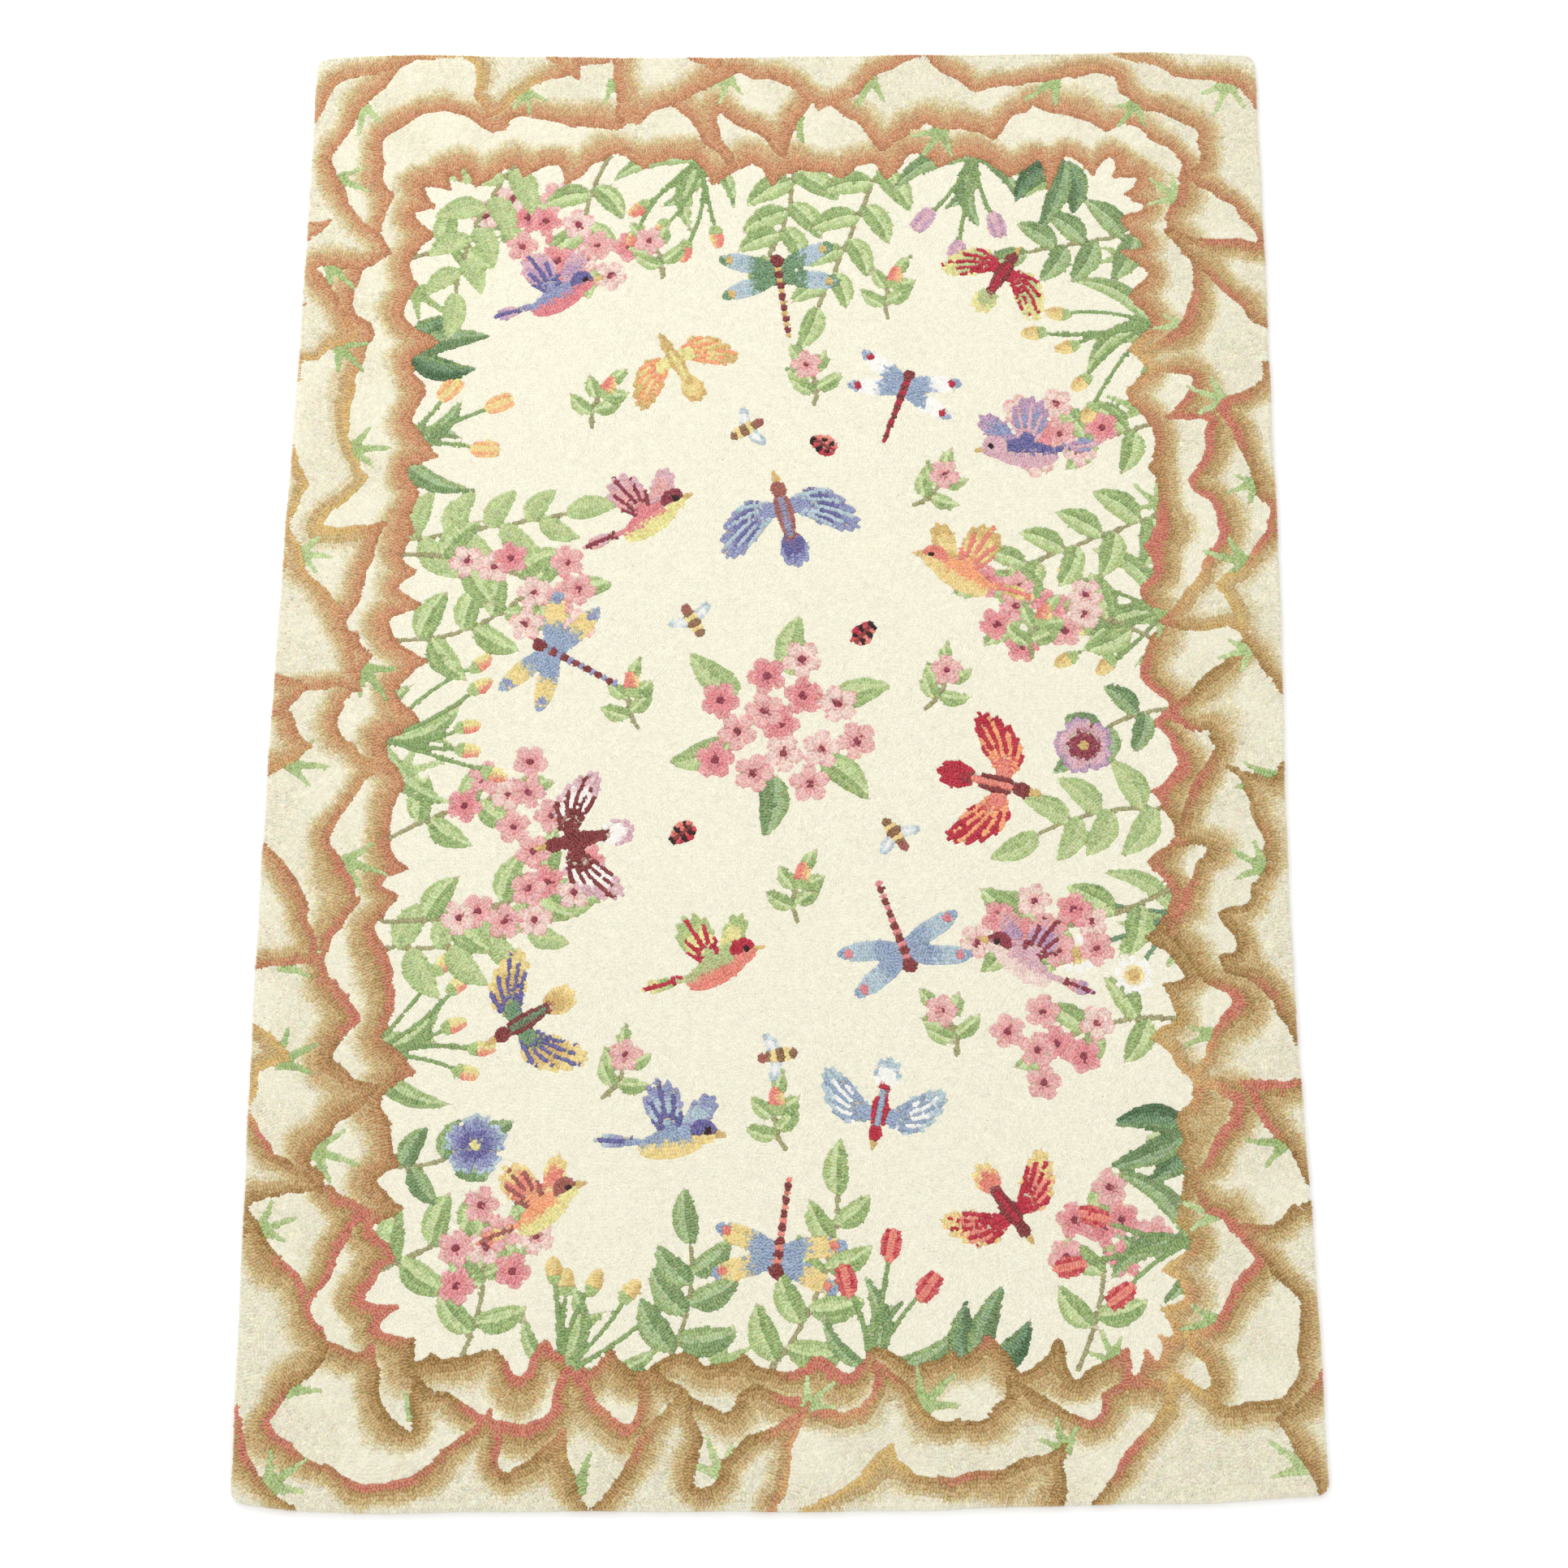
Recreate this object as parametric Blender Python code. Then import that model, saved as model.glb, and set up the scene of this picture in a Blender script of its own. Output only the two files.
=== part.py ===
"""A hand-hooked wool rug, 4 x 6 ft, lying flat.

One solid holds the foundation cloth, its turned-under hem and the low, even loop pile. Its four sides
wander by up to 12 mm, as hand hooking leaves them. The rug lies on the XY plane: +Y runs along its
length to the far end, +Z is up, and the origin is under the middle of its bounding box.
"""

import math
from collections import namedtuple

import bmesh
import bpy
import numpy as np
from mathutils import Vector

# Driving dimensions, in metres.
RUG_WIDTH = 1.22
RUG_LENGTH = 1.83
RUG_THICKNESS = 0.010
CORNER_RADIUS = 0.014
PILE_EDGE_ROUNDING = 0.005
HEM_EDGE_ROUNDING = 0.0015

# The cells of the grid that the rug is shaped from, and the steps of its rounded edges.
CELLS_ACROSS = 28
CELLS_ALONG = 42
CORNER_STEPS = 5
PILE_EDGE_STEPS = 4
HEM_EDGE_STEPS = 1

# How far each long side drifts from its straight line, towards +X, at places along the length.
LongSides = namedtuple("LongSides", "along left right")
LONG_SIDES = [
    LongSides(along=-0.90, left=0.001, right=0.002),
    LongSides(along=-0.80, left=0.000, right=0.002),
    LongSides(along=-0.60, left=-0.002, right=0.000),
    LongSides(along=-0.40, left=-0.004, right=-0.005),
    LongSides(along=-0.15, left=-0.004, right=-0.005),
    LongSides(along=0.15, left=0.000, right=0.003),
    LongSides(along=0.45, left=0.006, right=0.005),
    LongSides(along=0.60, left=0.008, right=0.007),
    LongSides(along=0.90, left=0.010, right=0.008),
]

# How far each short side drifts from its straight line, towards +Y, at places across the width.
ShortSides = namedtuple("ShortSides", "across near far")
SHORT_SIDES = [
    ShortSides(across=-0.61, near=0.004, far=-0.006),
    ShortSides(across=-0.52, near=-0.007, far=0.001),
    ShortSides(across=-0.42, near=-0.008, far=0.000),
    ShortSides(across=-0.28, near=-0.006, far=-0.002),
    ShortSides(across=-0.14, near=-0.006, far=-0.003),
    ShortSides(across=0.15, near=-0.005, far=0.001),
    ShortSides(across=0.30, near=0.000, far=0.002),
    ShortSides(across=0.52, near=0.005, far=0.004),
    ShortSides(across=0.61, near=0.012, far=-0.001),
]

# The outer row of loops wobbles along each side, out of step with the other sides.
WOBBLE_DEPTH = 0.0006
WOBBLE_LENGTH = 0.15
WOBBLE_PHASES = {"left": 0.0, "right": 2.1, "near": 4.0, "far": 1.3}

# The top of the pile swells a little where two long waves cross.
SwellWave = namedtuple("SwellWave", "across along phase")
SWELL_WAVES = [
    SwellWave(across=1.0, along=0.4, phase=0.0),
    SwellWave(across=-0.3, along=0.7, phase=2.4),
]
SWELL_DEPTH = 0.0003
SWELL_LENGTH = 0.31

# Edges that turn more sharply than this are rounded.
SHARP_TURN = math.radians(60)
SAME_HEIGHT = 1e-5


def clear_scene():
    for old in list(bpy.data.objects):
        bpy.data.objects.remove(old, do_unlink=True)


def column(table, name):
    return np.array([getattr(row, name) for row in table])


def drift(place, places, drifts):
    """A smooth curve through the drifts of a table, read at one place."""
    slopes = np.gradient(drifts, places)
    row = int(np.clip(np.searchsorted(places, place) - 1, 0, len(places) - 2))
    gap = places[row + 1] - places[row]
    t = float(np.clip((place - places[row]) / gap, 0.0, 1.0))
    start = (1 - t) ** 2 * ((1 + 2 * t) * drifts[row] + t * gap * slopes[row])
    end = t**2 * ((3 - 2 * t) * drifts[row + 1] - (1 - t) * gap * slopes[row + 1])
    return start + end


def side_drift(side, place):
    """How far one side lies from its straight line at one place: its drift and its wobble."""
    if side in ("left", "right"):
        table, places = LONG_SIDES, column(LONG_SIDES, "along")
    else:
        table, places = SHORT_SIDES, column(SHORT_SIDES, "across")
    turn = 2 * math.pi * place / WOBBLE_LENGTH + WOBBLE_PHASES[side]
    return drift(place, places, column(table, side)) + WOBBLE_DEPTH * math.sin(turn)


def hooked_place(x, y):
    """Where a point of the straight rectangle lies once the four sides have drifted."""
    to_right = x / RUG_WIDTH + 0.5
    to_far = y / RUG_LENGTH + 0.5
    return (
        x + side_drift("left", y) * (1 - to_right) + side_drift("right", y) * to_right,
        y + side_drift("near", x) * (1 - to_far) + side_drift("far", x) * to_far,
    )


def pile_swell(x, y):
    height = SWELL_DEPTH
    for wave in SWELL_WAVES:
        turn = 2 * math.pi * (wave.across * x + wave.along * y) / SWELL_LENGTH
        height *= math.sin(turn + wave.phase)
    return height


def is_upright(edge):
    return abs(edge.verts[1].co.z - edge.verts[0].co.z) > RUG_THICKNESS / 2


def is_level(edge, height):
    return all(abs(vert.co.z - height) < SAME_HEIGHT for vert in edge.verts)


def round_edges(bm, edges, rounding, steps):
    bmesh.ops.bevel(
        bm,
        geom=edges,
        offset=rounding,
        offset_type="OFFSET",
        segments=steps,
        profile=0.5,
        affect="EDGES",
    )


def rug_mesh():
    """A grid is drawn to the rug's outline, raised to its thickness and rounded at its edges."""
    bm = bmesh.new()
    bmesh.ops.create_grid(bm, x_segments=CELLS_ACROSS, y_segments=CELLS_ALONG, size=0.5)
    for vert in bm.verts:
        vert.co.xy = hooked_place(vert.co.x * RUG_WIDTH, vert.co.y * RUG_LENGTH)

    raised = bmesh.ops.extrude_face_region(bm, geom=list(bm.faces), use_keep_orig=True)
    top = [item for item in raised["geom"] if isinstance(item, bmesh.types.BMVert)]
    bmesh.ops.translate(bm, verts=top, vec=(0.0, 0.0, RUG_THICKNESS))

    # The underside lies flat on the floor, so its cells become one face.
    under = [face for face in bm.faces if face.calc_center_median().z < SAME_HEIGHT]
    bmesh.ops.dissolve_faces(bm, faces=under, use_verts=False)
    bmesh.ops.recalc_face_normals(bm, faces=bm.faces)

    sharp = [edge for edge in bm.edges if edge.calc_face_angle() > SHARP_TURN]
    round_edges(bm, [edge for edge in sharp if is_upright(edge)], CORNER_RADIUS, CORNER_STEPS)
    for height, rounding, steps in (
        (RUG_THICKNESS, PILE_EDGE_ROUNDING, PILE_EDGE_STEPS),
        (0.0, HEM_EDGE_ROUNDING, HEM_EDGE_STEPS),
    ):
        sharp = [edge for edge in bm.edges if edge.calc_face_angle() > SHARP_TURN]
        round_edges(bm, [edge for edge in sharp if is_level(edge, height)], rounding, steps)

    for vert in bm.verts:
        if vert.co.z > RUG_THICKNESS - SAME_HEIGHT:
            vert.co.z += pile_swell(vert.co.x, vert.co.y) - SWELL_DEPTH

    # The origin goes under the middle of the bounding box.
    xs = [vert.co.x for vert in bm.verts]
    ys = [vert.co.y for vert in bm.verts]
    middle = Vector((min(xs) + max(xs), min(ys) + max(ys), 0.0)) / 2
    bmesh.ops.translate(bm, verts=bm.verts, vec=-middle)

    mesh = bpy.data.meshes.new("rug")
    bm.to_mesh(mesh)
    bm.free()
    return mesh


def wool_material():
    material = bpy.data.materials.new("hooked_wool")
    material.use_nodes = True
    shader = material.node_tree.nodes["Principled BSDF"]
    shader.inputs["Base Color"].default_value = (0.79, 0.67, 0.51, 1.0)
    shader.inputs["Roughness"].default_value = 0.95
    shader.inputs["Metallic"].default_value = 0.0
    return material


def main():
    clear_scene()
    pieces = bpy.data.collections.new("hooked_rug")
    bpy.context.scene.collection.children.link(pieces)
    rug = bpy.data.objects.new("rug", rug_mesh())
    rug.data.materials.append(wool_material())
    rug.data.shade_smooth()
    rug.data.set_sharp_from_angle(angle=math.radians(50))
    pieces.objects.link(rug)


main()
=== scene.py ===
import math
import time

import bpy
import numpy as np
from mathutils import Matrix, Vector


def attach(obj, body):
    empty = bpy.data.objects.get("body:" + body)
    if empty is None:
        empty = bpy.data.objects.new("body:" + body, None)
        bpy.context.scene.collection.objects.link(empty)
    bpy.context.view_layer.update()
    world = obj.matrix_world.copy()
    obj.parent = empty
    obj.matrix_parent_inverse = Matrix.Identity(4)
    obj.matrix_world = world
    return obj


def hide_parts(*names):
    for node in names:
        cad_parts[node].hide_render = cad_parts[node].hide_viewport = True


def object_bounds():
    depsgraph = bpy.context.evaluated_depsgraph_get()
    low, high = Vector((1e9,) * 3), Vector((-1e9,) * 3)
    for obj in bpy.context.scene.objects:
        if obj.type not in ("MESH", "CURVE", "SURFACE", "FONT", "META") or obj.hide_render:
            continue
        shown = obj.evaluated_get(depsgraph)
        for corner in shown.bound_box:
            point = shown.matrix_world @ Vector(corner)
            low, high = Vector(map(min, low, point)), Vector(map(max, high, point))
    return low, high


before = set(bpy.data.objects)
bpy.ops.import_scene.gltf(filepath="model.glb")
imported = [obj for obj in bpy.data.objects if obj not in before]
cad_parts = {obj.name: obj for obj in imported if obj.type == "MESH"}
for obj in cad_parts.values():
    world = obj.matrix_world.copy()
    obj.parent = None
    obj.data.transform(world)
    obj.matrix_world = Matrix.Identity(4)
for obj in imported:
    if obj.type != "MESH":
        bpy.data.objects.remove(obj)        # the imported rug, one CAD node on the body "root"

began = time.time()
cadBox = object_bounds()
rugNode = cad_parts["rug"]
print("frame loaded, box", [round(v, 4) for corner in cadBox for v in corner])


def selectOnly(item):
    bpy.ops.object.select_all(action="DESELECT")
    item.select_set(True)
    bpy.context.view_layer.objects.active = item


# the view of the photograph: from above the near short side, nearly straight down

camera = {
    "lens": 65.0,                      # mm on a 36 mm sensor
    "target": (0.0042, -0.0729, 0.0),  # the point of the floor at the picture's middle
    "elevation": 72.8,                 # degrees above the floor
    "distance": 3.395,
}


def makeCamera():
    tilt = math.radians(camera["elevation"])
    target = Vector(camera["target"])
    away = Vector((0, -math.cos(tilt), math.sin(tilt)))
    bpy.ops.object.camera_add(location=target + away * camera["distance"])
    eye = bpy.context.object
    eye.rotation_mode = "QUATERNION"
    eye.rotation_quaternion = (-away).to_track_quat("-Z", "Y")
    eye.data.lens = camera["lens"]
    eye.data.sensor_width = 36.0
    bpy.context.scene.camera = eye


makeCamera()
print("camera placed")

# wool yarns by name, as sRGB colours of the finished pile

yarns = {
    "cream": (240, 234, 207), "white": (246, 243, 234), "sage": (230, 225, 203),
    "tan": (212, 196, 154), "tanPale": (221, 211, 180), "bark": (152, 118, 90),
    "ochre": (184, 154, 105), "ochreDark": (166, 134, 84), "ochrePale": (201, 177, 131),
    "rust": (204, 157, 120), "rustDark": (190, 139, 103), "rustPale": (206, 174, 134),
    "salmon": (202, 134, 113), "brick": (168, 108, 98), "burgundy": (140, 72, 72),
    "leaf": (178, 195, 139), "leafDark": (146, 168, 114), "leafPale": (204, 216, 168),
    "pine": (94, 122, 88), "teal": (126, 155, 122), "mint": (190, 198, 148),
    "stem": (168, 164, 124), "grass": (170, 189, 132),
    "blush": (235, 215, 205), "pink": (224, 175, 171), "hotPink": (221, 144, 148),
    "magenta": (150, 74, 86), "red": (188, 62, 78), "coral": (226, 146, 131),
    "orange": (236, 172, 132), "gold": (212, 184, 126),
    "butter": (232, 212, 154), "lemon": (229, 221, 160),
    "sky": (184, 199, 206), "slate": (160, 174, 194), "peri": (156, 160, 190),
    "violet": (117, 113, 161), "lilac": (190, 161, 185), "orchid": (216, 181, 188),
    "ink": (60, 42, 42),
}
yarns = {name: np.array(colour) / 255 for name, colour in yarns.items()}


def noise(x, y, scale, seed):
    # smooth gradient noise, about -1 to 1
    table = np.random.default_rng(seed).random((64, 64)) * 2 * np.pi
    x, y = x / scale + 17.3, y / scale + 31.7
    left, low = np.floor(x).astype(int), np.floor(y).astype(int)
    fx, fy = x - left, y - low
    ex, ey = (f * f * (3 - 2 * f) for f in (fx, fy))

    def corner(i, j):
        angle = table[(left + i) % 64, (low + j) % 64]
        return np.cos(angle) * (fx - i) + np.sin(angle) * (fy - j)

    below = corner(0, 0) * (1 - ex) + corner(1, 0) * ex
    above = corner(0, 1) * (1 - ex) + corner(1, 1) * ex
    return 1.5 * (below * (1 - ey) + above * ey)


def ramp(t, *stops):
    places = [place for place, _ in stops]
    colours = np.array([yarns[name] for _, name in stops])
    return np.stack([np.interp(t, places, colours[:, k]) for k in range(3)], -1)


def bands(t, *row):
    # the border's bands, with short fades between them; the row names each colour and where it ends, in mm
    names, ends = row[::2], row[1::2]
    pairs = [((end, names[k]), (end + border["fadeWidth"], names[k + 1])) for k, end in enumerate(ends)]
    return ramp(t, *(stop for pair in pairs for stop in pair))


def mix(a, b, share):
    share = np.asarray(share)[..., None]
    return a * (1 - share) + b * share


# grids over the rug: a fine one for the edges of the pattern, a coarse one for bands and rows

class Grid:
    def __init__(self, step):
        self.step = step
        self.low = np.array([-0.624, -0.928])
        # rows along y, columns along x
        self.shape = tuple(int(round(2 * half / step)) + 1 for half in (-self.low[1], -self.low[0]))

    def points(self):
        xs = self.low[0] + self.step * np.arange(self.shape[1])
        ys = self.low[1] + self.step * np.arange(self.shape[0])
        x, y = np.meshgrid(xs, ys)
        return x.ravel(), y.ravel()

    def sample(self, field, x, y):
        # bilinear reading of a field on this grid
        u = np.clip((x - self.low[0]) / self.step, 0, self.shape[1] - 1.001)
        v = np.clip((y - self.low[1]) / self.step, 0, self.shape[0] - 1.001)
        i, j = u.astype(int), v.astype(int)
        fu, fv = u - i, v - j
        lower = field[j, i] * (1 - fu) + field[j, i + 1] * fu
        upper = field[j + 1, i] * (1 - fu) + field[j + 1, i + 1] * fu
        return lower * (1 - fv) + upper * fv

    def nearest(self, field, points):
        i = np.clip(((points - self.low) / self.step + 0.5).astype(int), 0, np.array(self.shape[::-1]) - 1)
        return field[i[:, 1], i[:, 0]]

    def away(self, mask, reach):
        # metres to the nearest marked point, counted up to reach steps
        best = np.where(mask, 0, reach * reach).astype(np.int32)
        for axis in (0, 1):
            margin = [(reach, reach) if k == axis else (0, 0) for k in (0, 1)]
            source = np.pad(best, margin, constant_values=reach * reach)
            length = best.shape[axis]
            for shift in range(2 * reach + 1):
                part = source[shift:shift + length] if axis == 0 else source[:, shift:shift + length]
                best = np.minimum(best, part + (shift - reach) ** 2)
        return np.sqrt(best) * self.step


coarse, fine = Grid(0.002), Grid(0.001)

# the marbled border: ranges of hillocks, each with a sharp dark ridge towards the field, and hidden by
# those farther out

border = {
    "fieldHalf": (0.446, 0.742),    # half sizes of the cream field
    "corner": 0.06,                 # radius of its corners
    "starts": (0.028, 0.106, 0.186, 0.258),      # how far out each range lies
    "hills": ((0.070, 0.046), (0.140, 0.102), (0.175, 0.128), (0.170, 0.110)),   # peaks' pitch and height
    "crags": ((0.034, 0.004), (0.048, 0.012), (0.056, 0.014), (0.056, 0.014)),   # small ones on them
    "lean": (0.2, -0.5, 0.6, -0.5),                # how far the peaks lean along the border
    "drift": (0.014, 0.038, 0.052, 0.052),       # slow wandering of each range
    "driftScale": 0.16,
    "fade": (1.00, 1.12, 1.20, 1.26),             # how quickly each range fades from its ridge
    "faded": (0.0, 0.0, 0.5, 1.5),                # how far its ridge has faded already, in mm
    "fadeWidth": 1.5,                             # from one colour to the next, in mm
    "bend": (0.010, 0.055),         # how far noise bends the ranges, and its scale
    "ruffle": (0.003, 0.02),        # the same for a finer one
}


def aroundField(x, y):
    # how far out of the cream field a point lies, how far along the border, and the border's whole way
    r = border["corner"]
    a, b = border["fieldHalf"][0] - r, border["fieldHalf"][1] - r
    cx, cy = np.clip(x, -a, a), np.clip(y, -b, b)
    dx, dy = x - cx, y - cy
    turn = np.arctan2(dy, dx)
    along = np.where(cy > 0, b + a - cx, 3 * b + 3 * a + cx)
    along = np.where(cx <= -a, 2 * a + 2 * b - cy, along)
    along = np.where(cx >= a, cy, along)
    turn = np.where((cx < a) & (turn < 0), turn + 2 * np.pi, turn)
    return np.hypot(dx, dy) - r, along + 2 * r * turn, 4 * a + 4 * b + 4 * np.pi * r


def peaks(way, whole, pitch, seed):
    # a range of pointed peaks with round dips between them, from 0 to 1
    rng = np.random.default_rng(seed)
    count = round(whole / pitch)
    places = np.cumsum(rng.uniform(0.5, 1.5, count))
    places *= whole / places[-1]
    tops, dips, lows = rng.uniform(0.45, 1, count), rng.uniform(0, 0.2, count), rng.uniform(0.3, 0.7, count)
    way = way % whole
    after = np.minimum(np.searchsorted(places, way), count - 1)
    before = np.where(after > 0, places[after - 1], 0)
    t = (way - before) / (places[after] - before)
    low, dip = lows[after], dips[after]
    rise = np.where(t < low, tops[after - 1], tops[after]) - dip
    return dip + rise * np.where(t < low, 1 - t / low, (t - low) / (1 - low)) ** 1.3


def borderLayers():
    # over the coarse grid: how far each point lies behind each range's ridge, by value and by true distance
    x, y = coarse.points()
    near = np.flatnonzero(aroundField(x, y)[0] > -0.05)
    px, py = x[near], y[near]
    (bend, bendScale), (ruffle, ruffleScale) = border["bend"], border["ruffle"]
    wx = px + bend * noise(px, py, bendScale, 3) + ruffle * noise(px, py, ruffleScale, 13)
    wy = py + bend * noise(px, py, bendScale, 5) + ruffle * noise(px, py, ruffleScale, 14)
    out, way, whole = aroundField(wx, wy)
    layers = []
    for k, start in enumerate(border["starts"]):
        behind = np.full(x.size, -0.1)
        height = -start
        for (pitch, size), seed in ((border["hills"][k], 8 + 10 * k), (border["crags"][k], 9 + 10 * k)):
            height = height + size * peaks(way + border["lean"][k] * out, whole, pitch, seed)
        height += border["drift"][k] * noise(px, py, border["driftScale"], 12 + 10 * k)
        behind[near] = out + height
        if k:
            behind = np.minimum(behind, layers[0][0].ravel())
        behind = behind.reshape(coarse.shape)
        layers.append((behind, coarse.away(behind < 0, 30)))
    return layers


class Pattern:
    # the colour of every loop, or of every grid point, at (x, y); the points come sorted by y
    def __init__(self, x, y, ragged, seed=4):
        self.x, self.y = x, y
        self.rgb = np.tile(yarns["cream"], (x.size, 1))
        self.dither = np.random.default_rng(seed).normal(0, ragged, x.size)
        self.below = 99        # motifs are drawn only where the border's layer is below this one

    def local(self, place, turn, size, reach):
        # the points near a motif, in the motif's own measure
        first, last = np.searchsorted(self.y, (place[1] - reach * size, place[1] + reach * size))
        dx, dy = self.x[first:last] - place[0], self.y[first:last] - place[1]
        here = np.flatnonzero(np.abs(dx) < reach * size)
        c, s = math.cos(math.radians(turn)), math.sin(math.radians(turn))
        dx, dy = dx[here] / size, dy[here] / size
        return here + first, dx * c + dy * s, dy * c - dx * s

    def put(self, here, mask, colours):
        mask = mask & (self.layer[here] < self.below)
        colours = np.broadcast_to(colours, (here.size, 3))
        self.rgb[here[mask]] = colours[mask]

    def border(self, layers):
        x, y = self.x, self.y
        self.layer = np.full(x.size, -1)
        away = np.zeros(x.size)
        for k, (behind, distance) in enumerate(layers):
            covered = coarse.sample(behind, x, y) > 0
            self.layer[covered] = k
            away[covered] = coarse.sample(distance, x[covered], y[covered]) * 1000
        here = np.flatnonzero(self.layer >= 0)
        bx, by, k = x[here], y[here], self.layer[here]
        d = away[here] * (0.84 + 0.22 * noise(bx, by, 0.05, 12)) + 1.1 * self.dither[here]
        warm = np.clip(0.50 - 0.10 * k + 1.5 * (0.9 * by - 0.6 * bx) + 0.40 * noise(bx, by, 0.16, 10), 0, 1)
        stripe = np.clip(3 * noise(bx, by, 0.13, 11) + 0.5 + 2 * (0.25 * (k % 2) - 0.1), 0, 1)
        stripe *= np.clip(1.7 - 2 * warm, 0, 1)
        faint = np.clip(3 * noise(bx, by, 0.2, 15) - 1.3 + 0.3 * k, 0, 1)
        d *= np.array(border["fade"])[k] * (1 + 0.35 * noise(bx, by, 0.09, 16))
        d += np.array(border["faded"])[k]
        upper = bands(d, "rustDark", 3, "rust", 11.5, "rustPale", 20, "tan", 24.5, "tanPale", 30.5, "sage")
        lower = bands(d, "ochreDark", 4, "ochre", 12, "ochrePale", 21, "tan", 25, "tanPale", 30.5, "sage")
        red = bands(d, "salmon", 9.5, "ochre", 15, "ochrePale", 24, "tan", 28, "tanPale", 33, "sage")
        pale = bands(d, "gold", 8, "ochrePale", 16, "tanPale", 24, "sage")
        paint = mix(mix(mix(lower, upper, warm), red, stripe), pale, faint)
        # the hollows near the field are as pale as it is
        hollow = np.clip((d - 26) / 8, 0, 1) * np.clip(0.7 - 0.45 * k + noise(bx, by, 0.07, 17), 0, 0.7)
        self.rgb[here] = mix(paint, yarns["cream"], hollow)
        return away

    def stem(self, places, width, colour):
        a, b, c = (np.array(p) for p in places)
        middle = (a + c) / 2
        size = np.hypot(*(c - a)) / 2 + np.hypot(*(b - middle)) + 0.01
        here, u, v = self.local(middle, 0, 1, size)
        best = np.full(here.size, 9.0)
        steps = np.linspace(0, 1, 14)[:, None]
        line = (1 - steps) ** 2 * a + 2 * steps * (1 - steps) * b + steps ** 2 * c - middle
        for p, q in zip(line, line[1:]):
            d = q - p
            along = np.clip(((u - p[0]) * d[0] + (v - p[1]) * d[1]) / (d @ d), 0, 1)
            best = np.minimum(best, np.hypot(u - p[0] - along * d[0], v - p[1] - along * d[1]))
        self.put(here, best < width / 2, yarns[colour])
        return line + middle

    def leaf(self, place, turn, length, wide, bend, tint):
        # half dark, half pale along its rib; tint runs from light (-1) to deep green (1)
        here, u, v = self.local(place, turn, length, 1.15)
        along = np.clip(u, 0.001, 0.999)
        half = wide / 2 * np.sin(np.pi * along ** 0.8) ** 0.75 * (1.1 - 0.25 * along)
        across = (v - bend * 4 * along * (1 - along)) / half
        mask = (u > 0) & (u < 1) & (np.abs(across) < 1)
        t = across + 0.10 * self.dither[here]
        green = ramp(t, (-1, "leafDark"), (-0.6, "leaf"), (-0.15, "leafDark"), (0.0, "leafPale"),
                     (0.45, "leafPale"), (0.7, "leaf"))
        deep = ramp(t, (-0.4, "pine"), (0, "teal"), (0.4, "teal"), (0.7, "leafDark"), (1, "pine"))
        light = ramp(t, (-1, "leaf"), (-0.5, "leafPale"), (0.3, "mint"), (0.7, "leafPale"), (1, "leaf"))
        colours = mix(green, deep, np.full(here.size, min(max(tint, 0), 1)))
        colours = mix(colours, light, np.full(here.size, min(max(-tint, 0), 1)))
        self.put(here, mask, colours)

    def petalled(self, place, turn, size, petals):
        # the points near a flower: radius, a wave that is 1 along each petal and 0 between two, and angle
        here, u, v = self.local(place, turn, size, 1.1)
        angle = np.arctan2(v, u)
        return here, np.hypot(u, v), np.abs(np.cos(petals * angle / 2)), angle

    def blossom(self, place, turn, size, pale):
        here, r, wave, _ = self.petalled(place, turn, size, 5)
        edge = 0.62 + 0.38 * wave ** 0.6
        t = r / edge + 0.06 * self.dither[here]
        strong = ramp(t, (0.2, "magenta"), (0.27, "hotPink"), (0.6, "hotPink"), (0.85, "pink"),
                      (1, "hotPink"))
        soft = ramp(t, (0.17, "magenta"), (0.24, "pink"), (0.5, "blush"), (0.8, "blush"), (1, "pink"))
        colours = mix(strong, soft, np.full(here.size, pale))
        colours[(wave < 0.2) & (t > 0.3)] = mix(yarns["hotPink"], yarns["pink"], pale)
        self.put(here, r < edge, colours)

    def bloom(self, place, turn, size, colours):
        # a large ruffled flower; colours of eye, heart, petal and rim
        here, r, wave, angle = self.petalled(place, turn, size, 5)
        edge = 0.72 + 0.22 * wave ** 0.5 + 0.05 * np.cos(15 * angle)
        t = r / edge + 0.05 * self.dither[here]
        eye, heart, petal, rim = colours
        paint = ramp(t, (0.17, eye), (0.23, heart), (0.42, heart), (0.62, petal), (0.82, petal), (0.9, rim))
        paint[(wave < 0.12) & (t > 0.3)] = yarns[heart]
        self.put(here, r < edge, paint)

    def daisy(self, place, turn, size, colours):
        here, r, wave, _ = self.petalled(place, turn, size, 9)
        edge = 0.55 + 0.45 * wave ** 0.8
        t = r / edge
        paint = ramp(t, (0.3, "gold"), (0.38, colours[0]), (0.7, colours[1]))
        paint[(wave < 0.3) & (t > 0.36)] = yarns[colours[0]]
        self.put(here, r < edge, paint)

    def bud(self, place, turn, size, colours):
        here, u, v = self.local(place, turn, size, 1.1)
        cup = (u / 0.95 - 0.1) ** 2 + (v / 0.55) ** 2
        self.put(here, (u < 0.1) & (cup < 1.25), yarns["leaf"])
        paint = ramp(v + 0.1 * self.dither[here], (-0.4, colours[1]), (0.1, colours[0]))
        self.put(here, (u > -0.25) & (cup < 1), paint)

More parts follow.
